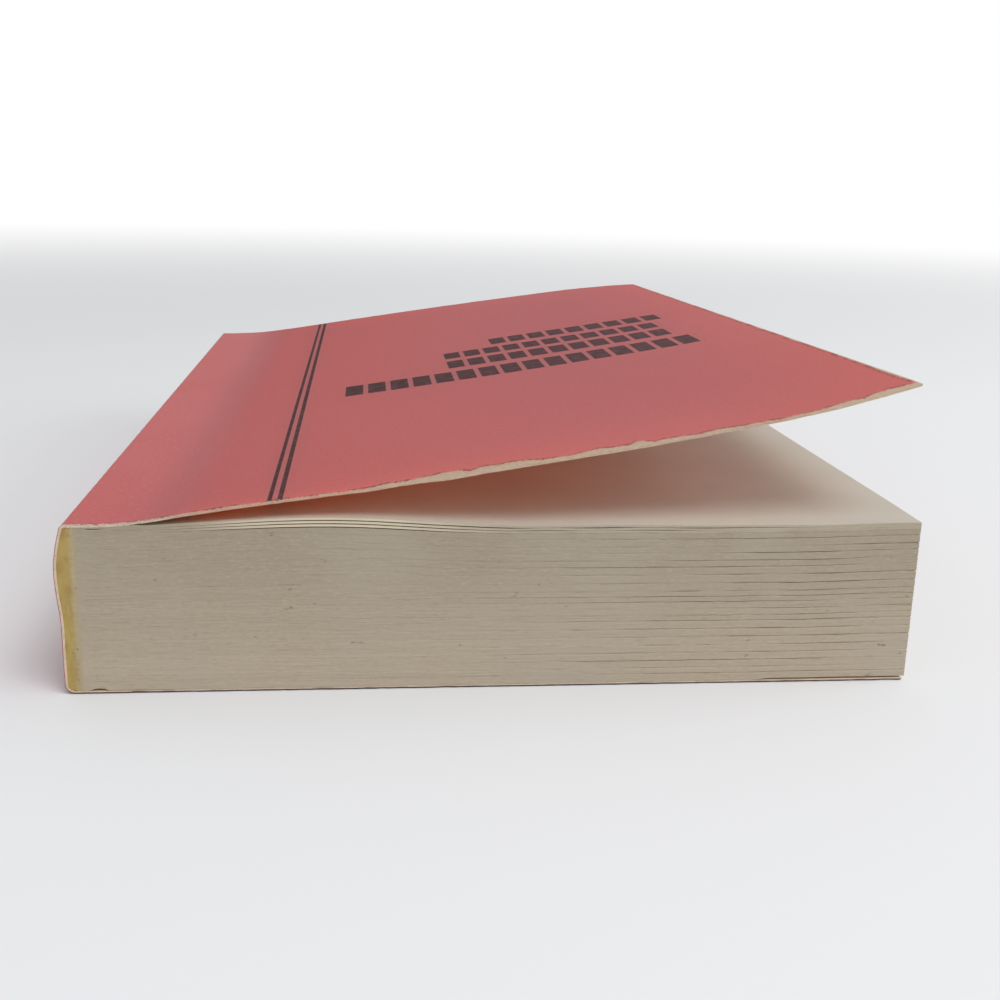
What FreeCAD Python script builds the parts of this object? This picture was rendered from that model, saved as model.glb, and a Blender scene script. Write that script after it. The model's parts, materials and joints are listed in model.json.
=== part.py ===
import FreeCAD, Part
import math
import os

# A glued paperback lying on its back cover, its front cover ajar and curled.
# X runs from the spine to the fore-edge, Y from the tail to the head, and Z up through the front cover.
# The book is drawn with X = 0 at the spine's front fold, Y = 0 at mid height and Z = 0 under the back cover.
# It is then shifted so that the origin is the middle of its footprint. All lengths are in millimetres.

# The bound book
cover_width = 108.0          # spine to the covers' free edges
cover_height = 178.0         # tail to head
book_thickness = 22.0        # over both covers
card_thickness = 0.35
glue_thickness = 1.2         # glue between the leaves' cut edge and the spine card
fore_edge_swell = 0.4        # how far the leaves' free edges bow out at mid thickness

# The spine's wrapped card
score_line = 7.5             # from the spine to the line each cover bends on
front_fold_radius = 0.8
back_fold_radius = 1.2
spine_lean = 0.5             # how much further out the back fold lies than the front fold
spine_bulge = 1.0            # how far the read spine swells past its front fold
bulge_drop = 5.5             # from the front of the book down to the fullest point of the bulge
waist_drop = 12.0            # from the front of the book down to where the bulge has run out

# The lifted front cover bends in three arcs, and its slopes are in degrees above the block
rise_length = 15.0           # first arc, from the score line
tip_length = 22.0            # last arc, up to the free edge
tail_slope_degrees = (11.4, 7.6, 11.0, 17.7)
head_slope_degrees = (7.9, 9.6, 8.2, 3.7)

# The top leaves have come loose beyond the score line and stand in a low wave
wave_length = 50.0
wave_height = 1.2
wave_crest = 24.5            # from the score line to the crest

leaf_edge = card_thickness + glue_thickness
tail = -cover_height / 2
node_folder = "parts"


def point(x, z, y=tail):
    return FreeCAD.Vector(x, y, z)


def line(start, end):
    return Part.LineSegment(start, end).toShape()


def quarter(centre, radius, angle):
    """Quarter circle about the centre, anticlockwise in X and Z from the angle in degrees."""
    turns = [math.radians(angle + turn) for turn in (0, 45, 90)]
    spots = [centre + FreeCAD.Vector(radius * math.cos(a), 0, radius * math.sin(a)) for a in turns]
    return Part.Arc(*spots).toShape()


def spine_outline(inset, reach):
    """Closed outline of the spine side, this far inside the card's face and out to X = reach."""
    front_centre = point(front_fold_radius, book_thickness - front_fold_radius)
    back_centre = point(back_fold_radius - spine_lean, back_fold_radius)
    fold_end = point(inset, front_centre.z)
    crest = point(inset - spine_bulge, book_thickness - bulge_drop)
    waist = point(inset - spine_lean, book_thickness - waist_drop)
    fold_start = point(inset - spine_lean, back_centre.z)
    face = Part.BSplineCurve()
    face.interpolate([fold_end, crest, waist, fold_start])
    front_edge = point(reach, book_thickness - inset)
    back_edge = point(reach, inset)
    return Part.Wire([
        line(front_edge, point(front_centre.x, book_thickness - inset)),
        quarter(front_centre, front_fold_radius - inset, 90),
        face.toShape(),
        quarter(back_centre, back_fold_radius - inset, 180),
        line(point(back_centre.x, inset), back_edge),
        line(back_edge, front_edge),
    ])


def along_book(outline):
    """Solid of this closed outline, from the tail to the head."""
    return Part.Face(outline).extrude(FreeCAD.Vector(0, cover_height, 0))


def cover_spine():
    """Spine panel, its two folds and the two strips glued to the first and last leaf."""
    whole = along_book(spine_outline(0, score_line))
    inside = along_book(spine_outline(card_thickness, score_line))
    return whole.cut(inside)


def spine_glue():
    """Glue that fills the wrap between the card and the leaves' cut edge."""
    return along_book(spine_outline(card_thickness, leaf_edge))


def page_block():
    """All leaves as one solid: the low wave of loose leaves on top, and a bowed fore-edge."""
    top = book_thickness - card_thickness
    middle = book_thickness / 2
    wave_start = point(score_line, top)
    wave_end = point(score_line + wave_length, top)
    crest = point(score_line + wave_crest, top + wave_height)
    level = FreeCAD.Vector(1, 0, 0)
    wave = Part.BSplineCurve()
    wave.interpolate([wave_start, crest, wave_end], Tangents=[level] * 3, TangentFlags=[True] * 3)
    front_corner = point(cover_width, top)
    back_corner = point(cover_width, card_thickness)
    fore_edge = Part.Arc(front_corner, point(cover_width + fore_edge_swell, middle), back_corner)
    return along_book(Part.Wire([
        line(point(leaf_edge, top), wave_start),
        wave.toShape(),
        line(wave_end, front_corner),
        fore_edge.toShape(),
        line(back_corner, point(leaf_edge, card_thickness)),
        line(point(leaf_edge, card_thickness), point(leaf_edge, top)),
    ]))


def back_cover():
    """Flat card panel under the block, from the score line to the fore-edge."""
    corner = FreeCAD.Vector(score_line, tail, 0)
    return Part.makeBox(cover_width - score_line, cover_height, card_thickness, corner)


def bend(start, length, slope, next_slope):
    """Middle and end of an arc that leaves the start at one slope and arrives at the next, in degrees."""
    def run(distance, low, high):
        mean = math.radians((low + high) / 2)
        half_turn = math.radians(high - low) / 2
        chord = distance * (math.sin(half_turn) / half_turn if half_turn else 1.0)
        return start + FreeCAD.Vector(chord * math.cos(mean), 0, chord * math.sin(mean))
    return run(length / 2, slope, (slope + next_slope) / 2), run(length, slope, next_slope)


def inward(spot, slope):
    """The point straight through the card from this one, at this slope in degrees."""
    angle = math.radians(slope)
    return spot + FreeCAD.Vector(card_thickness * math.sin(angle), 0, -card_thickness * math.cos(angle))


def curve(start, middle, end):
    """Arc through three points, or the straight line where they are in line."""
    bow = (middle - start).cross(end - start).Length
    return Part.Arc(start, middle, end).toShape() if bow > 1e-9 else line(start, end)


def curled_edge(y, slopes):
    """Closed section of the front cover's card at this Y: three arcs outside, three inside, two cut ends."""
    middle_length = cover_width - score_line - rise_length - tip_length
    root = spot = point(score_line, book_thickness, y)
    outside, inside = [], []
    for length, low, high in zip((rise_length, middle_length, tip_length), slopes, slopes[1:]):
        middle, end = bend(spot, length, low, high)
        outside.append(curve(spot, middle, end))
        inner_middle = inward(middle, (low + high) / 2)
        inside.append(curve(inward(spot, low), inner_middle, inward(end, high)))
        spot = end
    free_end = line(spot, inward(spot, slopes[-1]))
    hinge_end = line(inward(root, slopes[0]), root)
    return Part.Wire(outside + [free_end] + inside[::-1] + [hinge_end])


def front_cover():
    """Curled card panel beyond the score line: straight rulings between its tail and head sections."""
    sections = [curled_edge(tail, tail_slope_degrees), curled_edge(-tail, head_slope_degrees)]
    return Part.makeLoft(sections, True, True)


nodes = {
    "page_block": page_block(),
    "spine_glue": spine_glue(),
    "cover_spine": cover_spine(),
    "front_cover": front_cover(),
    "back_cover": back_cover(),
}

# The footprint runs from the fullest point of the spine to the fullest point of the fore-edge.
spine_reach = nodes["cover_spine"].optimalBoundingBox(False).XMin
fore_edge_reach = nodes["page_block"].optimalBoundingBox(False).XMax
footprint_middle = (spine_reach + fore_edge_reach) / 2

os.makedirs(node_folder, exist_ok=True)
for name, shape in nodes.items():
    shape.translate(FreeCAD.Vector(-footprint_middle, 0, 0))
    box = shape.optimalBoundingBox(False)
    print(f"{name}: {len(shape.Solids)} solid, {shape.Volume:.1f} mm3, valid {shape.isValid()}, "
          f"X {box.XMin:.2f}..{box.XMax:.2f}, Y {box.YMin:.2f}..{box.YMax:.2f}, Z {box.ZMin:.2f}..{box.ZMax:.2f}")
    shape.exportStep(f"{node_folder}/{name}.step")
print(f"hinge lines: X {score_line - footprint_middle:.3f}, front Z {book_thickness:.3f}, back Z 0")
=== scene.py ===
import json
import math

import bpy
import numpy as np
from mathutils import Matrix, Vector


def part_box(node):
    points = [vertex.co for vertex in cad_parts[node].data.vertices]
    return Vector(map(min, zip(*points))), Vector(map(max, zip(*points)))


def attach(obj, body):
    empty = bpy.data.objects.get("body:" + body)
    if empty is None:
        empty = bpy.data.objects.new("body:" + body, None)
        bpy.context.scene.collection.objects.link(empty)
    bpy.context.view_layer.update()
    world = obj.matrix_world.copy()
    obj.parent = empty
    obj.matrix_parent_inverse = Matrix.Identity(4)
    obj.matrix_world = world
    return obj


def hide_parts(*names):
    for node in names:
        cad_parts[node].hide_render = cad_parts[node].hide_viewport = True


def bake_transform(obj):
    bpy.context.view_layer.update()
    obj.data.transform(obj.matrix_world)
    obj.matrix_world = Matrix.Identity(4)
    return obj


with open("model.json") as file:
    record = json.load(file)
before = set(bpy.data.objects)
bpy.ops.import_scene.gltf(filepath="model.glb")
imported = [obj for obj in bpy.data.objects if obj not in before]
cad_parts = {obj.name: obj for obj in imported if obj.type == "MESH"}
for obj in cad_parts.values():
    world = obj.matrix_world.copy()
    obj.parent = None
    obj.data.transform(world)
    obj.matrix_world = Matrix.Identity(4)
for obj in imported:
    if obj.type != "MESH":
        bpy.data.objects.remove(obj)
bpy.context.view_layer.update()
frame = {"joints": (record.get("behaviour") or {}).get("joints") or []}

# A worn paperback on its back cover. All lengths are in metres, in the book's own frame:
# X from the spine to the fore-edge, Y from the tail to the head, Z up through the front cover.
MM = 0.001

# Places that the frame gives
hinges = {joint["name"]: joint["pos_m"] for joint in frame["joints"]}
score_x, _, front_z = hinges["front_cover_fold"]
back_low, back_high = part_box("back_cover")
card = back_high.z
free_x = back_high.x
tail_y, head_y = back_low.y, back_high.y
height = head_y - tail_y
leaf_edge_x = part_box("page_block")[0].x
fore_edge_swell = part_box("page_block")[1].x - free_x
block_top = front_z - card
block_width = free_x - leaf_edge_x

# The wrapped spine
score_line = 7.5 * MM
front_fold_x = score_x - score_line
front_fold_radius = 0.8 * MM
back_fold_radius = 1.2 * MM
spine_lean = 0.5 * MM
# the spine's face: how far below the front, and how far out from the front fold
spine_drop = np.array([0.8, 2.5, 5.4, 9.2, 11.9, 17.4, 20.8]) * MM
spine_out = np.array([0.12, 0.55, 0.98, 0.83, 0.56, 0.53, 0.5]) * MM

# The lifted front cover
panel_length = free_x - score_x
rise_length = 15.0 * MM
tip_length = 22.0 * MM
tail_slopes = np.radians((11.4, 7.6, 11.0, 17.7))
head_slopes = np.radians((7.9, 9.6, 8.2, 3.7))
# at rest the sheet turns over this length each side of the score line, at the tail and at the head
score_bends = (4.0 * MM, 8.5 * MM)
# the glue holds the front down at the score line, and light comes through fully beyond this
glued_fade = 12.0 * MM

# Wear of the card: the cut edges are frayed by this much
fray = 0.06 * MM
# the back's lower rim is rubbed round over this width, and this high, with a contact shadow painted over the
# same width
rim_width = 0.8 * MM
rim_lift = 0.12 * MM
# how wide the print has worn off along the head and the free edge, and how much less on the spine and back
head_wear = 0.6 * MM
free_wear = 0.3 * MM
back_unworn = 0.4 * MM
# how wide the print has worn off along the tail edge, at these places from the front fold
worn_places = np.array([10, 20, 30, 38, 48, 56, 61, 70, 79, 90, 100, 107]) * MM
worn_widths = np.array([0.1, 0.35, 0.35, 0.9, 1.6, 1.6, 1.0, 1.5, 0.9, 0.8, 1.2, 1.4]) * MM

# The wave of loose leaves
wave_length = 50.0 * MM
wave_height = 1.2 * MM
wave_crest = 24.5 * MM
wave_lead = 2.0 * MM

# Leaves, gathered in bundles that part a little at the fore-edge
bundles = 21
leaves_in_bundle = 8
loose_bundles = 3
loose_thickness = 0.28 * MM
loose_gap = 0.13 * MM
closed_gap = 0.01 * MM
gap_depth = 2.5 * MM
# beyond the wave each loose bundle gapes by this share, up to this place from the front fold
slits = np.array([0.0, 0.5, 0.8])
slit_ends = np.array([54, 85, 96]) * MM
# where the lowest leaves part from the back, in millimetres: from and to the front fold, ease and height
foot_gaps = ((2.4, 5.0, 0.8, 0.3), (87.5, 111.0, 2.5, 0.24), (4.5, 14.0, 3.0, 0.06))
foot_gap_everywhere = 0.03
corner_curl = 0.32 * MM

# Print on the front, in millimetres. Two rules beside the spine: from and to the score line.
front_rules = ((17.45, 18.0), (18.7, 19.35))
# rows of plain bars: from and to the score line, how many, from and to the tail
front_bars = (
    (26.0, 90.0, 16, 65.5, 75.0),
    (45.0, 88.0, 11, 79.0, 87.0),
    (45.0, 88.0, 11, 90.0, 97.0),
    (55.0, 91.0, 9, 100.5, 108.0),
)
# the space on each side of a bar, as a share of the bars' pitch
bar_space = 0.11


def smooth(x):
    """0 below 0, 1 above 1, and the cubic 3x2 - 2x3 between."""
    x = np.clip(x, 0.0, 1.0)
    return x * x * (3 - 2 * x)


def hump(x, start, end, ease):
    """Eased up after start and down before end, each over the length ease."""
    return smooth((x - start) / ease) * smooth((end - x) / ease)


def flow(x, knots_x, knots_y):
    """The curve through these knots: on each span the cubic whose end slopes are the mean of its
    neighbours'."""
    rises = np.diff(knots_y) / np.diff(knots_x)
    slopes = np.concatenate([rises[:1], (rises[1:] + rises[:-1]) / 2, rises[-1:]])
    span = np.clip(np.searchsorted(knots_x, x) - 1, 0, len(rises) - 1)
    width = np.diff(knots_x)[span]
    t = (x - knots_x[span]) / width
    start, end = knots_y[span], knots_y[span + 1]
    at_start = (1 - t) * (slopes[span] - rises[span])
    at_end = t * (slopes[span + 1] - rises[span])
    return start + (end - start) * t + t * (1 - t) * (at_start - at_end) * width


def wander(place, row, pitch, seed):
    """A smooth random curve for each row: normal random knots a pitch apart, eased from one to the next.
    The knots stay at the same places whatever part of the curve is asked for, so that neighbours agree."""
    place, row = np.broadcast_arrays(place, row)
    reach = 200 * MM
    steps = (place + reach) / pitch
    first = np.floor(steps).astype(int)
    row = row.astype(int)
    knots = np.random.default_rng(seed).standard_normal((row.max() + 1, int(2 * reach / pitch) + 2))
    ease = smooth(steps - first)
    return knots[row, first] * (1 - ease) + knots[row, first + 1] * ease


def box_lattice(a, b, c):
    """The skin of a block: every lattice point of (a, b, c) on its six sides, and the outward quads
    between them. Also gives the side of each quad: 0 and 1 at the ends of a, 2 and 3 of b, 4 and 5 of c."""
    skin = np.ones((len(a), len(b), len(c)), bool)
    skin[1:-1, 1:-1, 1:-1] = False
    index = np.zeros(skin.shape, int)
    index[skin] = np.arange(skin.sum())
    points = np.stack(np.meshgrid(a, b, c, indexing="ij"), -1)[skin]
    quads, sides = [], []
    for axis in range(3):
        for end in (0, -1):
            side = np.take(index, end, axis)
            corners = [side[:-1, :-1], side[1:, :-1], side[1:, 1:], side[:-1, 1:]]
            if (end == 0) != (axis == 1):
                corners.reverse()
            quads.append(np.stack(corners, -1).reshape(-1, 4))
            sides.append(np.full(len(quads[-1]), 2 * axis - end))
    return points, np.concatenate(quads), np.concatenate(sides)


def make_piece(name, points, quads, materials, slot_of_quad=None, crease=35.0, **values):
    """A mesh object from whole arrays. Each of values becomes a point attribute, a number or a vector a
    point. Edges sharper than crease, in degrees, stay sharp."""
    mesh = bpy.data.meshes.new(name)
    mesh.vertices.add(len(points))
    mesh.vertices.foreach_set("co", np.asarray(points, np.float32).ravel())
    mesh.loops.add(quads.size)
    mesh.loops.foreach_set("vertex_index", quads.astype(np.int32).ravel())
    mesh.polygons.add(len(quads))
    mesh.polygons.foreach_set("loop_start", np.arange(0, quads.size, 4, dtype=np.int32))
    mesh.polygons.foreach_set("use_smooth", np.ones(len(quads), bool))
    if slot_of_quad is not None:
        mesh.polygons.foreach_set("material_index", slot_of_quad.astype(np.int32))
    mesh.update(calc_edges=True)
    mesh.set_sharp_from_angle(angle=math.radians(crease))
    for key, value in values.items():
        value = np.asarray(value, np.float32)
        vector = value.ndim == 2
        attribute = mesh.attributes.new(key, "FLOAT_VECTOR" if vector else "FLOAT", "POINT")
        attribute.data.foreach_set("vector" if vector else "value", value.ravel())
    for material in materials:
        mesh.materials.append(material)
    piece = bpy.data.objects.new(name, mesh)
    bpy.context.scene.collection.objects.link(piece)
    return piece


class Paint:
    """A material's node tree, with short calls for the nodes that this book's materials share."""

    def __init__(self, name, roughness, gloss=0.25):
        self.material = bpy.data.materials.new(name)
        self.material.use_nodes = True
        self.tree = self.material.node_tree
        self.shader = self.tree.nodes["Principled BSDF"]
        self.shader.inputs["Roughness"].default_value = roughness
        self.shader.inputs["Specular IOR Level"].default_value = gloss

    def feed(self, socket, value):
        if isinstance(value, bpy.types.NodeSocket):
            self.tree.links.new(value, socket)
        else:
            socket.default_value = value

    def node(self, kind, *inputs):
        made = self.tree.nodes.new(kind)
        for socket, value in zip(made.inputs, inputs):
            self.feed(socket, value)
        return made

    def place(self):
        return self.node("ShaderNodeTexCoord").outputs["Object"]

    def stored(self, name, output="Fac"):
        made = self.node("ShaderNodeAttribute")
        made.attribute_name = name
        return made.outputs[output]

    def split(self, vector):
        return self.node("ShaderNodeSeparateXYZ", vector).outputs

    def stretch(self, vector, scale):
        made = self.node("ShaderNodeMapping", vector)
        made.inputs["Scale"].default_value = scale
        return made.outputs[0]

    def noise(self, vector, scale, detail=3.0, roughness=0.55):
        made = self.node("ShaderNodeTexNoise", vector)
        made.inputs["Scale"].default_value = scale
        made.inputs["Detail"].default_value = detail
        made.inputs["Roughness"].default_value = roughness
        return made.outputs["Fac"]

    def specks(self, vector, scale, size):
        """1 within size of the points of a random lattice, and 0 a little further out."""
        made = self.node("ShaderNodeTexVoronoi", vector)
        made.inputs["Scale"].default_value = scale
        return self.ramp(made.outputs["Distance"], size * scale, 0.5 * size * scale)

    def math(self, operation, first, second=0.0, third=0.0):
        made = self.node("ShaderNodeMath", first, second, third)
        made.operation = operation
        return made.outputs[0]

    def times(self, first, second):
        return self.math("MULTIPLY", first, second)

    def minus(self, first, second):
        return self.math("SUBTRACT", first, second)

    def ramp(self, value, low, high, to_low=0.0, to_high=1.0):
        made = self.node("ShaderNodeMapRange", value, low, high, to_low, to_high)
        made.interpolation_type = "SMOOTHSTEP"
        return made.outputs[0]

    def between(self, value, low, high, soft):
        """1 from low to high, with edges this soft."""
        rise = self.ramp(value, low - soft, low + soft)
        fall = self.ramp(value, high + soft, high - soft)
        return self.times(rise, fall)

    def mix(self, share, first, second):
        made = self.tree.nodes.new("ShaderNodeMix")
        made.data_type = "RGBA"
        sockets = (made.inputs[0], made.inputs[6], made.inputs[7])
        for socket, value in zip(sockets, (share, first, second)):
            self.feed(socket, value)
        return made.outputs[2]

    def colour(self, value):
        self.feed(self.shader.inputs["Base Color"], value)

    def bump(self, height_value, strength, distance):
        made = self.tree.nodes.new("ShaderNodeBump")
        made.inputs["Strength"].default_value = strength
        made.inputs["Distance"].default_value = distance
        self.feed(made.inputs["Height"], height_value)
        self.feed(self.shader.inputs["Normal"], made.outputs[0])

    def share_with(self, share, other):
        """Hand this share of the surface over to the other shader."""
        mixed = self.node("ShaderNodeMixShader", share, self.shader.outputs[0], other.outputs[0])
        self.feed(self.tree.nodes["Material Output"].inputs["Surface"], mixed.outputs[0])


def rgb(red, green, blue):
    return (red, green, blue, 1.0)


def page_paper():
    """Uncut leaf faces: aged cream pulp paper, faintly clouded and fibrous, and browner near the fold."""
    paint = Paint("page_paper", 0.9)
    place = paint.place()
    clouds = paint.ramp(paint.noise(place, 60.0), 0.3, 0.7)
    tone = paint.mix(clouds, rgb(0.475, 0.465, 0.405), rgb(0.50, 0.49, 0.43))
    near_fold = paint.ramp(paint.minus(paint.split(place)[0], score_x), 60 * MM, 0.0)
    paint.colour(paint.mix(near_fold, tone, rgb(0.475, 0.44, 0.365)))
    paint.bump(paint.noise(place, 1800.0, 4.0), 0.25, 0.05 * MM)
    return paint.material


def cut_paper():
    """Cut leaf edges. leaf_place is the point in the unlifted block, so that the flecks follow the leaves:
    bands of slightly different leaves, short flecks along them, a foot painted lighter as painted floor
    bounce, dust and painted shade in the gaps and a few dark smudges."""
    paint = Paint("cut_paper", 0.95)
    place = paint.stored("leaf_place", "Vector")
    across, _, up = paint.split(place)
    # Painted floor bounce: the cut edges are painted lighter and warmer towards the floor
    low = paint.ramp(up, 20 * MM, 1 * MM)
    tone = paint.mix(low, rgb(0.366, 0.312, 0.235), rgb(0.46, 0.387, 0.297))
    bands = paint.noise(paint.stretch(place, (14.0, 14.0, 1100.0)), 1.0, 4.0, 0.65)
    tone = paint.mix(paint.ramp(bands, 0.35, 0.65, 0.0, 0.22), tone, rgb(0.33, 0.275, 0.20))
    flecks = paint.noise(paint.stretch(place, (1300.0, 1300.0, 4200.0)), 1.0, 4.0, 0.65)
    tone = paint.mix(paint.ramp(flecks, 0.52, 0.75, 0.0, 0.32), tone, rgb(0.25, 0.20, 0.135))
    tone = paint.mix(paint.ramp(flecks, 0.46, 0.28, 0.0, 0.25), tone, rgb(0.58, 0.51, 0.40))
    clouds = paint.noise(place, 45.0)
    tone = paint.mix(paint.ramp(clouds, 0.4, 0.7, 0.0, 0.5), tone, rgb(0.43, 0.38, 0.31))
    # The loose leaves' edges are painted paler where they rise in the wave
    tone = paint.mix(paint.stored("fresh"), tone, rgb(0.74, 0.65, 0.49))

    # Grime: rare irregular smudges, longer along the leaves, and the glue's yellow beside the spine
    smudges = paint.noise(paint.stretch(place, (330.0, 330.0, 900.0)), 1.0, 3.0, 0.6)
    tone = paint.mix(paint.ramp(smudges, 0.69, 0.76, 0.0, 0.6), tone, rgb(0.14, 0.11, 0.08))
    soaked = paint.math("MULTIPLY_ADD", flecks, 0.9 * MM, paint.minus(across, leaf_edge_x))
    tone = paint.mix(paint.ramp(soaked, 0.95 * MM, 0.4 * MM, 0.0, 0.55), tone, rgb(0.43, 0.34, 0.17))
    # Dust and painted shade in the grooves between bundles and in the slits under the loose leaves
    tone = paint.mix(paint.stored("gap"), tone, rgb(0.27, 0.15, 0.06))
    paint.colour(tone)
    paint.bump(flecks, 0.2, 0.08 * MM)
    return paint.material


def dried_glue():
    """Hot-melt glue: yellow and blotched, with a cream fringe where it soaked between the leaves.
    leaf_side is the distance to the leaves, in metres."""
    paint = Paint("dried_glue", 0.55)
    place = paint.place()
    blots = paint.noise(place, 420.0)
    tone = paint.mix(paint.ramp(blots, 0.35, 0.75), rgb(0.42, 0.31, 0.105), rgb(0.35, 0.225, 0.07))
    streaks = paint.noise(paint.stretch(place, (300.0, 300.0, 2500.0)), 1.0)
    soaked = paint.math("MULTIPLY_ADD", streaks, -0.5 * MM, paint.stored("leaf_side"))
    fringe = paint.ramp(soaked, 0.6 * MM, -0.1 * MM)
    tone = paint.mix(fringe, tone, paint.mix(streaks, rgb(0.37, 0.30, 0.18), rgb(0.47, 0.39, 0.25)))
    grit = paint.times(paint.specks(place, 900.0, 0.16 * MM), paint.ramp(soaked, 0.9 * MM, 0.4 * MM))
    paint.colour(paint.mix(grit, tone, rgb(0.10, 0.075, 0.04)))
    paint.bump(blots, 0.4, 0.2 * MM)
    return paint.material


def front_ink(paint, across, along):
    """Where the front is inked: the rules, and the rows of bars at an even pitch."""
    ink = 0.0
    for start, end in front_rules:
        rule = paint.between(across, score_line + start * MM, score_line + end * MM, 0.06 * MM)
        ink = paint.math("MAXIMUM", ink, rule)
    for left, right, count, low, high in front_bars:
        pitch = (right - left) * MM / count
        space = bar_space * pitch
        phase = paint.math("PINGPONG", paint.minus(across, score_line + left * MM - space), pitch / 2)
        bar = paint.ramp(phase, space - 0.1 * MM, space + 0.1 * MM)
        in_row = paint.between(across, score_line + left * MM, score_line + right * MM, 0.1 * MM)
        row = paint.times(in_row, paint.between(along, low * MM, high * MM, 0.12 * MM))
        ink = paint.math("MAXIMUM", ink, paint.times(bar, row))
    return ink


def printed_card():
    """Cover card. card_place gives across from the front fold, along from the tail and depth, 0 at the
    printed face and 1 at the other, all on the flat sheet. wear is the distance inside the worn margin, in
    metres, the painted contact shadow's mask is 1 on the lower rim, and free is 1 where light comes through, on
    the lifted cover."""
    paint = Paint("printed_card", 0.6, 0.12)
    sheet = paint.stored("card_place", "Vector")
    across, along, depth = paint.split(sheet)
    place = paint.stretch(sheet, (1.0, 1.0, card))
    clouds = paint.noise(place, 22.0, 4.0)
    grain = paint.noise(place, 1500.0, 3.0)

    # The share of light that comes through the free card. The colour passes from glued to free so that
    # shaded and passed light together change evenly: at f free and s let through, by f (1 - s) / (1 - s f).
    away = paint.ramp(across, 20 * MM, 100 * MM)
    free = paint.stored("free")
    let_through = paint.ramp(across, 20 * MM, 100 * MM, 0.7, 0.55)
    passed = paint.times(free, let_through)
    to_free = paint.math("DIVIDE", paint.minus(free, passed), paint.minus(1.0, passed))
    free_red = paint.mix(away, rgb(0.67, 0.40, 0.415), rgb(0.46, 0.25, 0.28))
    red = paint.mix(to_free, rgb(0.45, 0.098, 0.099), free_red)
    red = paint.mix(paint.ramp(clouds, 0.3, 0.7, 0.0, 0.04), red, rgb(0.85, 0.55, 0.55))
    red = paint.mix(paint.ramp(grain, 0.5, 0.72, 0.0, 0.3), red, rgb(0.36, 0.10, 0.11))
    red = paint.mix(paint.ramp(grain, 0.46, 0.28, 0.0, 0.18), red, rgb(0.66, 0.33, 0.33))
    ink = front_ink(paint, across, along)
    rubbed = paint.ramp(paint.noise(place, 700.0, 4.0), 0.25, 0.6, 0.6, 0.9)
    outer = paint.mix(paint.times(ink, rubbed), red, rgb(0.11, 0.043, 0.049))

    # The print is cracked pale along the spine's front fold and back fold
    cracks = paint.noise(place, 450.0, 4.0, 0.7)
    for fold, width in ((0.15 * MM, 0.45 * MM), (-21.4 * MM, 0.6 * MM)):
        off = paint.math("ABSOLUTE", paint.minus(across, fold))
        cracked = paint.math("MULTIPLY_ADD", cracks, -2.2 * width, off)
        pale = paint.ramp(cracked, -0.75 * width, -1.25 * width)
        outer = paint.mix(pale, outer, rgb(0.78, 0.55, 0.48))

    # Worn margin: bare core, with a dark ragged rim painted along the lifted print's edge as the painted shade
    # of its step
    core = paint.mix(grain, rgb(0.44, 0.35, 0.27), rgb(0.76, 0.66, 0.54))
    fibres = paint.noise(place, 2400.0, 4.0, 0.7)
    core = paint.mix(paint.ramp(fibres, 0.52, 0.66, 0.0, 0.55), core, rgb(0.47, 0.25, 0.22))
    ragged = paint.minus(paint.math("MULTIPLY_ADD", fibres, 2.4 * MM, paint.stored("wear")), 1.2 * MM)
    rim = paint.times(paint.between(ragged, -0.4 * MM, 0.0, 0.12 * MM), paint.ramp(cracks, 0.42, 0.55))
    rim = paint.times(rim, 0.7)
    outer = paint.mix(rim, outer, rgb(0.20, 0.09, 0.09))
    bare = paint.math("MAXIMUM", paint.ramp(ragged, -0.1 * MM, 0.2 * MM), paint.ramp(depth, 0.2, 0.3))
    tone = paint.mix(bare, outer, core)
    # Painted contact shadow: the lower part of the rim's cut edge is painted near black, where the card meets
    # the floor
    contact_shadow = paint.times(paint.stored("soiled"), paint.ramp(depth, 0.5, 0.35))
    tone = paint.mix(contact_shadow, tone, rgb(0.085, 0.055, 0.05))
    lining = paint.mix(away, rgb(0.78, 0.58, 0.41), rgb(0.82, 0.76, 0.66))
    paint.colour(paint.mix(paint.ramp(depth, 0.9, 0.98), tone, lining))
    paint.bump(grain, 0.15, 0.05 * MM)

    # Light that comes through is tinted by the print, and hardly at all by the bare core
    tint = paint.mix(ink, rgb(1.0, 0.145, 0.035), rgb(0.10, 0.05, 0.05))
    tint = paint.mix(rim, tint, rgb(0.25, 0.05, 0.03))
    tint = paint.mix(bare, tint, paint.mix(0.5, core, rgb(1.0, 0.9, 0.75)))
    share = paint.times(paint.ramp(bare, 0.0, 1.0, let_through, 0.5), free)
    paint.share_with(share, paint.node("ShaderNodeBsdfTranslucent", tint))
    return paint.material


def wave(x):
    """Rise of the loose leaves at this X: eased up from just before the score line to the crest, and down
    to the wave's end."""
    along = x - score_x
    up = smooth((along + wave_lead) / (wave_crest + wave_lead))
    down = 1 - smooth((along - wave_crest) / (wave_length - wave_crest))
    return up * down


def leaf_rows():
    """The rows of the leaves' cut walls, from the back of the book up. Gives, row by row: the height as a
    share of the main block, the loose bundle (0 in the main block), its step in that bundle, and whether it
    lies in a gap. The bundles' thicknesses are random."""
    per_bundle = leaves_in_bundle + 1
    count = np.arange(1, bundles * per_bundle)
    place = count % per_bundle
    thickness = np.random.default_rng(9).uniform(0.75, 1.25, bundles)
    ends = np.concatenate([[0], np.cumsum(thickness)]) / thickness.sum()
    in_bundles = count // per_bundle + np.maximum(place - 0.5, 0) / leaves_in_bundle
    share = np.interp(in_bundles, np.arange(bundles + 1), ends)
    nothing = np.zeros(len(count))
    main = np.stack([share, nothing, nothing, place == 0], 1)
    loose = [[1, bundle + 1, step, step < 2] for bundle in range(loose_bundles) for step in range(5)]
    return np.concatenate([[[0, 0, 0, 0]], main, [[1, 0, 0, 0]], loose]).T


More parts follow.
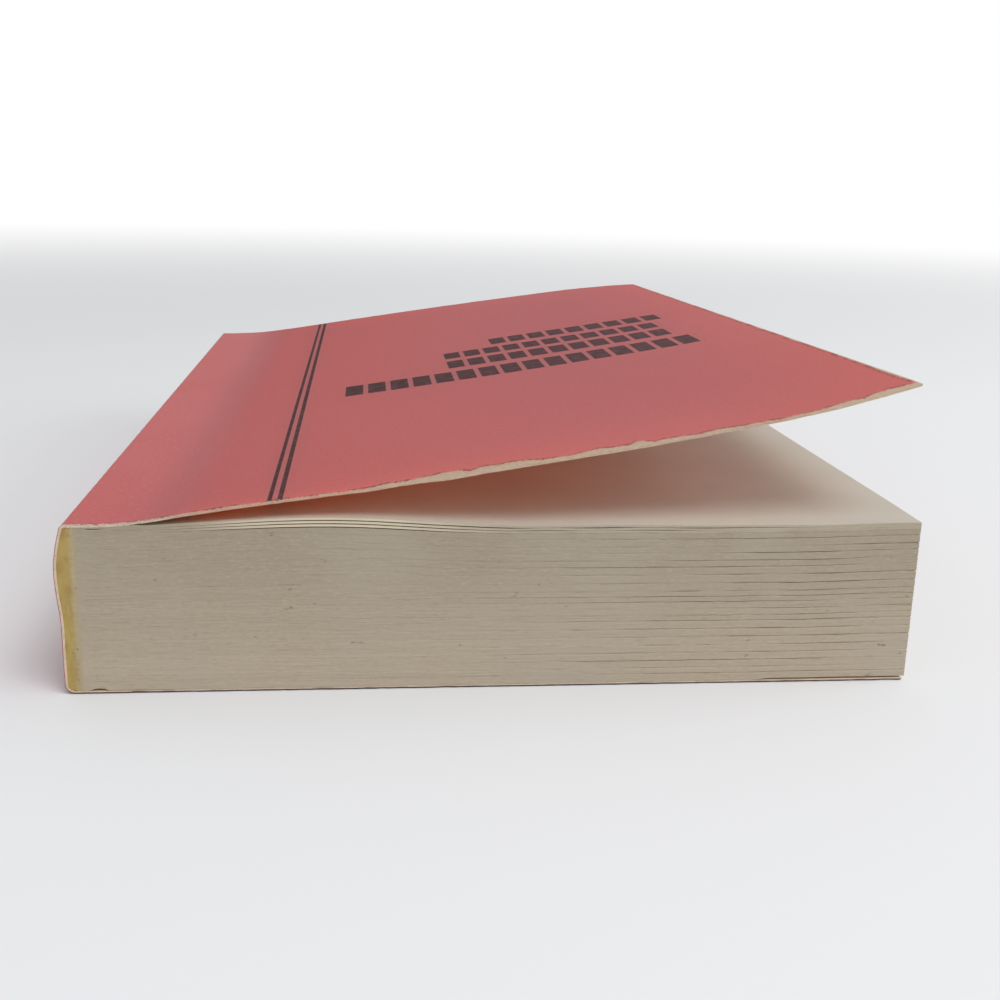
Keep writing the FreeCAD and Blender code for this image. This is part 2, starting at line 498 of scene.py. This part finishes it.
def loose_openings(from_spine, at_tail):
    """How far each loose bundle gapes below it, from 0 to about 1: fully under the wave, then as a thinner
    patchy slit. The top one has a nick beside the spine. Also gives how far each point is past the wave."""
    rise = smooth((from_spine - 10 * MM) / (20 * MM))
    past_wave = smooth((from_spine - 38 * MM) / (20 * MM))
    patchy = np.stack([0.75 + 0.5 * wander(from_spine, k, 7 * MM, 70) for k in range(loose_bundles)])
    patchy = np.clip(patchy, 0.1, 1.2) * past_wave + 1 - past_wave
    opening = rise * (1 - past_wave * (1 - slits[:, None]))
    opening = opening * smooth((slit_ends[:, None] - from_spine) / (8 * MM))
    opening = opening * np.where(past_wave > 0, patchy, 1.0)
    nick = 0.6 * hump(from_spine, 3.0 * MM, 5.2 * MM, 0.4 * MM) * at_tail
    opening[-1] = np.maximum(opening[-1], nick)
    return opening, past_wave


def make_leaves():
    """The page block with its cut edges in relief. A point is (share of width, share of height, row). The
    row sets Z, the wave lifts the upper rows, and the walls are pushed in by each leaf's own random offset,
    by the grooves between bundles and by the open gaps under the loose ones."""
    share, bundle, step, in_gap = leaf_rows()
    across = np.concatenate([np.linspace(0, 0.09, 22), np.linspace(0.09, 1, 108)[1:]])
    near_tail_rows, near_head_rows = [0, 0.004, 0.01, 0.02, 0.04], [0.96, 0.98, 0.99, 0.996, 1]
    along = np.concatenate([near_tail_rows, np.linspace(0.07, 0.93, 34), near_head_rows])
    points, quads, sides = box_lattice(across, along, np.arange(float(len(share))))
    a, b, row = points[:, 0], points[:, 1], points[:, 2].astype(int)
    share, bundle, step, in_gap = share[row], bundle[row].astype(int), step[row], in_gap[row] > 0
    x = leaf_edge_x + a * block_width
    y = tail_y + b * height
    from_spine = x - front_fold_x
    from_tail = b * height
    opening, past_wave = loose_openings(from_spine, b < 0.05)
    gap = closed_gap + loose_gap * opening

    # Heights: the main block is drawn out to the wave, and the loose bundles lie on it, each on its gap
    flat_top = block_top - loose_bundles * loose_thickness
    main_top = flat_top + wave_height * wave(x) - gap.sum(0)
    drawn_out = (main_top - flat_top) * smooth((share - 0.5) / 0.5)
    z = card + share * (flat_top - card) + drawn_out
    for k in range(loose_bundles):
        in_bundle = gap[k] * (step > 0) + loose_thickness * np.maximum(step - 2, 0) / 2
        z = z + np.where(bundle > k + 1, loose_thickness + gap[k], 0.0)
        z = z + np.where(bundle == k + 1, in_bundle, 0.0)
    level = (z - card) / (block_top - card)
    flat_z = z - drawn_out
    top_leaves = smooth((level - 0.9) / 0.1)
    z = z + score_lift(x, from_tail) * top_leaves

    # The free corners curl up, most of all at the tail, and the lowest leaves part from the back in places
    corner = smooth((from_spine - 92 * MM) / (16 * MM)) * (1 - 0.7 * smooth(from_tail / (70 * MM)))
    z = z + corner_curl * corner * smooth(level / 0.6)
    near_tail = 1 - smooth(from_tail / (12 * MM))
    foot = foot_gap_everywhere
    for start, end, ease, rise in foot_gaps:
        foot = foot + rise * hump(from_spine, start * MM, end * MM, ease * MM)
    z = z + foot * MM * near_tail * (1 - smooth(level / 0.09))
    z = z + 0.05 * MM * wander(x, 0, 9 * MM, 15) * near_tail * top_leaves

    # Walls
    to_fore = smooth((a - 0.3) / 0.65)
    run = np.where((b == 0) | (b == 1), x - leaf_edge_x, y - tail_y)
    uneven = 0.006 * wander(run, row, 6 * MM, 11) + 0.015 * wander(run, row, 1.0 * MM, 12)
    uneven = uneven * smooth(a / 0.02)
    strength = 0.55 + 0.3 * wander(run, row, 30 * MM, 13) + 0.3 * wander(run, row, 3.5 * MM, 14)
    strength = np.clip(strength, 0.0, 1.3) * (1 - 0.5 * smooth((a - 0.9) / 0.08) * (a < 1))
    groove = np.where(in_gap & (bundle == 0), (0.01 + 0.15 * to_fore) * strength, 0.0)
    inset = np.maximum(0.05 + uneven + groove, 0.0) * MM
    own_opening = np.where(bundle > 0, opening[np.maximum(bundle - 1, 0), np.arange(len(x))], 0.0)
    slot = in_gap & (bundle > 0)
    inset = inset + np.where(slot, gap_depth * np.clip(2 * own_opening, 0, 1), 0.0)
    x = x + fore_edge_swell * smooth((a - 0.9) / 0.1) - inset * (a == 1)
    y = set_in(b, inset)

    # How dark each gap is painted: dust, with painted shade where the gap is deep
    gap_dust_and_shade = np.where(groove > 0, (0.03 + 0.42 * to_fore) * strength, 0.0)
    gap_dust_and_shade = np.where(slot, 2.5 * own_opening, gap_dust_and_shade)
    pale_edge = 0.7 * smooth((from_spine - 12 * MM) / (14 * MM)) * (1 - 0.8 * past_wave)
    fresh = np.where((bundle > 0) & (step > 1), pale_edge, 0.0)
    leaves = make_piece("leaves", np.stack([x, y, z], 1), quads, [cut_paper(), page_paper()], sides >= 4, 60.0,
                        gap=np.clip(gap_dust_and_shade, 0, 1), fresh=fresh, leaf_place=np.stack([x, y, flat_z], 1))
    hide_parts("page_block")
    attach(leaves, "bound_block")


def curl(slopes, s):
    """Place and slope of the lifted cover at these lengths from the score line, in X and Z from it: the
    slope runs straight from station to station, and the place is the sum of its cosines and sines."""
    stations = np.array([0, rise_length, panel_length - tip_length, panel_length])
    steps = np.linspace(0, panel_length, 2001)
    angle = np.interp(steps, stations, slopes)
    mean = (angle[1:] + angle[:-1]) / 2
    stride = steps[1]
    x = np.concatenate([[0], np.cumsum(np.cos(mean)) * stride])
    z = np.concatenate([[0], np.cumsum(np.sin(mean)) * stride])
    return np.interp(s, steps, x), np.interp(s, steps, z), np.interp(s, steps, angle)


def score_lift(x, from_tail):
    """How far the sheet runs above the sharp corner of strip and panel: it turns evenly over the bend's
    length on each side, so the height is slope times bend times (1 - |u|) squared over 4, with u the share
    of the bend. The bend grows from tail to head."""
    to_head = from_tail / height
    bend = score_bends[0] + (score_bends[1] - score_bends[0]) * to_head
    away = np.clip(np.abs(x - score_x) / bend, 0, 1)
    slope = tail_slopes[0] + (head_slopes[0] - tail_slopes[0]) * to_head
    return slope * bend * (1 - away) ** 2 / 4


def edge_wear(run, seed, width):
    """Width of the worn margin along an edge: this width times a slow and a fine random curve, never
    below 0."""
    slow = wander(run, 0, 13 * MM, seed)
    fine = wander(run, 0, 1.8 * MM, seed + 1)
    return width * np.maximum(1 + 0.2 * slow + 0.3 * fine, 0.0)


def card_wear(across, from_tail, from_head, from_free):
    """How far each point lies inside the nearest worn margin, above 0 where the core shows."""
    tail = edge_wear(across, 21, np.interp(across, worn_places, worn_widths)) - from_tail
    head = edge_wear(across, 31, head_wear) - from_head
    free = edge_wear(from_tail, 41, free_wear) - from_free
    return np.maximum(np.maximum(tail, head), free)


def set_in(b, inset):
    """Y at these shares of the height, set in by inset at the tail and at the head."""
    return tail_y + b * height + inset * (b == 0) - inset * (b == 1)


def frayed(s, level, seed):
    """How far the card's cut edge is frayed away, at random along it and through its thickness."""
    return fray * np.abs(wander(s, level * 2, 0.9 * MM, seed))


def end_rim(from_tail, from_head):
    """1 on the card's tail and head edges, eased to 0 over the rim's width."""
    return 1 - smooth(np.minimum(from_tail, from_head) / rim_width)


# Shares of the height and of the card's thickness at which the card's meshes have their points
edge_steps = np.array([0, 0.2, 0.4, 0.7, 1.0, 1.4, 1.8, 2.3, 3.0, 5.0]) * MM / height
sheet_rows = np.concatenate([edge_steps, np.linspace(0, 1, 30)[2:-2], 1 - edge_steps[::-1]])
sheet_levels = np.array([0, 0.5, 1.0])


def make_front_panel():
    """The lifted front cover: tail and head curls joined by straight rulings, with thickness along the
    normal."""
    points, quads, _ = box_lattice(np.linspace(0, 1, 400), sheet_rows, sheet_levels)
    s, b, level = points[:, 0] * panel_length, points[:, 1], points[:, 2]
    tail_x, tail_z, tail_angle = curl(tail_slopes, s)
    head_x, head_z, head_angle = curl(head_slopes, s)
    x = score_x + tail_x * (1 - b) + head_x * b
    z = front_z + tail_z * (1 - b) + head_z * b
    angle = tail_angle * (1 - b) + head_angle * b
    from_tail, from_head = b * height, (1 - b) * height
    wear = card_wear(s + score_line, from_tail, from_head, panel_length - s)
    peel = 0.06 * MM * smooth(wear / (0.15 * MM)) * (level == 1)
    down = (1 - level) * card + peel
    x = x + down * np.sin(angle)
    z = z - down * np.cos(angle) + score_lift(x, from_tail)
    ripple = wander(s, 0, 5 * MM, 52) * (1 - smooth(from_tail / (4 * MM))) * smooth(s / (8 * MM))
    z = z - 0.05 * MM * np.abs(ripple)
    y = set_in(b, frayed(s, level, 51))
    flat = np.stack([score_line + s, from_tail, 1 - level], 1)
    panel = make_piece("front_panel", np.stack([x, y, z], 1), quads, [card_paint], card_place=flat, wear=wear,
                       free=smooth(s / glued_fade), soiled=np.zeros_like(s))
    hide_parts("front_cover")
    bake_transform(panel)


def wrap_path(inset):
    """The spine's wrap, this far inside the card's face: front strip, front fold, bulged face, back fold
    and back strip, as points in X and Z spaced for their bends. The face flows through the spine's knots."""
    front_centre = np.array([front_fold_x - spine_out[0] + front_fold_radius, front_z - front_fold_radius])
    back_centre = np.array([front_fold_x + back_fold_radius - spine_lean, back_fold_radius])
    strip = np.linspace(0, 1, 24)
    level = np.ones(len(strip))
    turn = np.linspace(0, math.pi / 2, 9)
    front_strip = np.stack([score_x + (front_centre[0] - score_x) * strip, (front_z - inset) * level], 1)
    fold = front_fold_radius - inset
    front_fold = front_centre + fold * np.stack([-np.sin(turn), np.cos(turn)], 1)
    face_z = np.linspace(front_centre[1], back_centre[1], 50)
    face_x = front_fold_x - flow(front_z - face_z, spine_drop, spine_out) + inset
    face = np.stack([face_x, face_z], 1)
    fold = back_fold_radius - inset
    back_fold = back_centre + fold * np.stack([-np.cos(turn), -np.sin(turn)], 1)
    back_strip = np.stack([back_centre[0] + (score_x - back_centre[0]) * strip, inset * level], 1)
    return np.concatenate([front_strip, front_fold[1:], face[1:-1], back_fold, back_strip[1:]])


def path_run(path):
    """Length along a path to each of its points."""
    return np.concatenate([[0], np.cumsum(np.linalg.norm(np.diff(path, axis=0), axis=1))])


def make_spine_card():
    """The wrapped spine: the wrap's outer and inner paths, joined through the card."""
    outer, inner = wrap_path(0.0), wrap_path(card)
    points, quads, _ = box_lattice(np.arange(len(outer)), sheet_rows, sheet_levels)
    station, b, level = points[:, 0].astype(int), points[:, 1], points[:, 2]
    spot = outer[station] * level[:, None] + inner[station] * (1 - level[:, None])
    x, z = spot[:, 0], spot[:, 1]
    from_tail, from_head = b * height, (1 - b) * height
    z = z + score_lift(x, from_tail) * (z > block_top - card)
    rim = end_rim(from_tail, from_head) * smooth(1 - outer[station, 1] / back_fold_radius)
    z = z + level * rim * rim_lift
    across = score_line - path_run(outer)[station]
    wear = card_wear(across, from_tail, from_head, np.ones_like(across)) - back_unworn * (across < 0)
    flat = np.stack([across, from_tail, 1 - level], 1)
    place = np.stack([x, set_in(b, 0.0), z], 1)
    wrap = make_piece("spine_card", place, quads[:, ::-1], [card_paint], card_place=flat, wear=wear,
                      free=np.zeros_like(across), soiled=rim)
    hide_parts("cover_spine")
    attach(wrap, "bound_block")


def make_back_panel():
    """The back cover: a flat sheet from the score line to its free edge, its printed face down."""
    points, quads, _ = box_lattice(np.linspace(0, 1, 120), sheet_rows, sheet_levels)
    s, b, level = points[:, 0] * panel_length, points[:, 1], points[:, 2]
    from_tail, from_head = b * height, (1 - b) * height
    across = score_line - path_run(wrap_path(0.0))[-1] - s
    wear = card_wear(across, from_tail, from_head, panel_length - s) - back_unworn
    rim = end_rim(from_tail, from_head)
    z = level * card + (1 - level) * rim * rim_lift
    place = np.stack([score_x + s, set_in(b, frayed(s, level, 53)), z], 1)
    flat = np.stack([across, from_tail, level], 1)
    panel = make_piece("back_panel", place, quads, [card_paint], card_place=flat, wear=wear,
                       free=np.zeros_like(s), soiled=rim)
    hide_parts("back_cover")
    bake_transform(panel)


def make_glue():
    """The glue between the wrap's inner path and the leaves' cut edge, with a slightly lumpy tail and
    head."""
    inner = wrap_path(card)
    inside = inner[inner[:, 0] < leaf_edge_x]
    points, quads, _ = box_lattice(np.arange(len(inside)), sheet_rows, np.linspace(0, 1, 9))
    station, b, share = points[:, 0].astype(int), points[:, 1], points[:, 2]
    x = inside[station, 0] * share + leaf_edge_x * (1 - share)
    z = inside[station, 1]
    lump = 0.05 * MM + 0.05 * MM * np.abs(wander(z, share * 8, 1.2 * MM, 61)) * smooth(share / 0.3)
    place = np.stack([x, set_in(b, lump), z], 1)
    glue = make_piece("glue_layer", place, quads[:, ::-1], [dried_glue()], leaf_side=leaf_edge_x - x)
    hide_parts("spine_glue")
    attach(glue, "bound_block")


def make_stage():
    """A wide pale floor just under the book, which fades into the white background for the camera alone."""
    reach = 6.0
    corners = [(-reach, -reach, 0), (reach, -reach, 0), (reach, reach, 0), (-reach, reach, 0)]
    mesh = bpy.data.meshes.new("floor")
    mesh.from_pydata(corners, [], [(0, 1, 2, 3)])
    floor = bpy.data.objects.new("floor", mesh)
    bpy.context.scene.collection.objects.link(floor)
    paint = Paint("floor_card", 0.8)
    place = paint.place()
    paint.colour(paint.mix(paint.noise(place, 3.0), rgb(0.74, 0.755, 0.78), rgb(0.77, 0.785, 0.81)))
    away = paint.node("ShaderNodeVectorMath", place)
    away.operation = "LENGTH"
    fade = paint.ramp(away.outputs["Value"], 0.25, 1.2)
    camera = paint.node("ShaderNodeLightPath").outputs["Is Camera Ray"]
    white = paint.node("ShaderNodeEmission", rgb(1.0, 1.0, 1.0), 1.0)
    paint.share_with(paint.times(fade, camera), white)
    mesh.materials.append(paint.material)


def make_world():
    """An even pale world that lights the book, and is shown white behind it."""
    world = bpy.data.worlds.new("studio")
    bpy.context.scene.world = world
    world.use_nodes = True
    tree = world.node_tree
    even = tree.nodes["Background"]
    even.inputs["Color"].default_value = (1.0, 0.99, 0.975, 1.0)
    even.inputs["Strength"].default_value = 0.6
    seen = tree.nodes.new("ShaderNodeBackground")
    seen.inputs["Color"].default_value = (1.0, 1.0, 1.0, 1.0)
    seen.inputs["Strength"].default_value = 1.0
    path = tree.nodes.new("ShaderNodeLightPath")
    shown = tree.nodes.new("ShaderNodeMath")
    shown.operation = "MAXIMUM"
    tree.links.new(path.outputs["Is Camera Ray"], shown.inputs[0])
    tree.links.new(path.outputs["Is Glossy Ray"], shown.inputs[1])
    mixer = tree.nodes.new("ShaderNodeMixShader")
    tree.links.new(shown.outputs[0], mixer.inputs[0])
    tree.links.new(even.outputs[0], mixer.inputs[1])
    tree.links.new(seen.outputs[0], mixer.inputs[2])
    tree.links.new(mixer.outputs[0], tree.nodes["World Output"].inputs["Surface"])


def make_lamps():
    """A wide key lamp high in front on the right, and a fill lamp low on the right, both aimed at the
    book."""
    for name, spot, size, power in (
        ("key_lamp", (0.33, -0.55, 0.95), 0.55, 5.6),
        ("fill_lamp", (0.85, -0.1, 0.25), 0.7, 3.5),
    ):
        lamp = bpy.data.lights.new(name, "AREA")
        lamp.size = size
        lamp.energy = power
        made = bpy.data.objects.new(name, lamp)
        bpy.context.scene.collection.objects.link(made)
        aim = (-Vector(spot)).to_track_quat("-Z", "Y")
        made.matrix_world = Matrix.Translation(spot) @ aim.to_matrix().to_4x4()


def make_camera():
    """The photograph's view, worked out from the book's corners: low, a little to the right, and tipped by
    a hair."""
    camera = bpy.data.cameras.new("camera")
    camera.sensor_width = 36.0
    camera.lens = 44.74
    camera.clip_start = 0.01
    made = bpy.data.objects.new("camera", camera)
    bpy.context.scene.collection.objects.link(made)
    spot = (front_fold_x + 36.78 * MM, tail_y - 148.13 * MM, 64.67 * MM)
    turn, dip, tip = math.radians(6.358), math.radians(14.893), math.radians(1.582)
    made.matrix_world = (
        Matrix.Translation(spot)
        @ Matrix.Rotation(-turn, 4, "Z")
        @ Matrix.Rotation(math.pi / 2 - dip, 4, "X")
        @ Matrix.Rotation(tip, 4, "Z")
    )
    bpy.context.scene.camera = made


card_paint = printed_card()
make_leaves()
make_glue()
make_spine_card()
make_front_panel()
make_back_panel()
make_stage()
make_world()
make_lamps()
make_camera()
bpy.context.scene.view_settings.view_transform = "Standard"
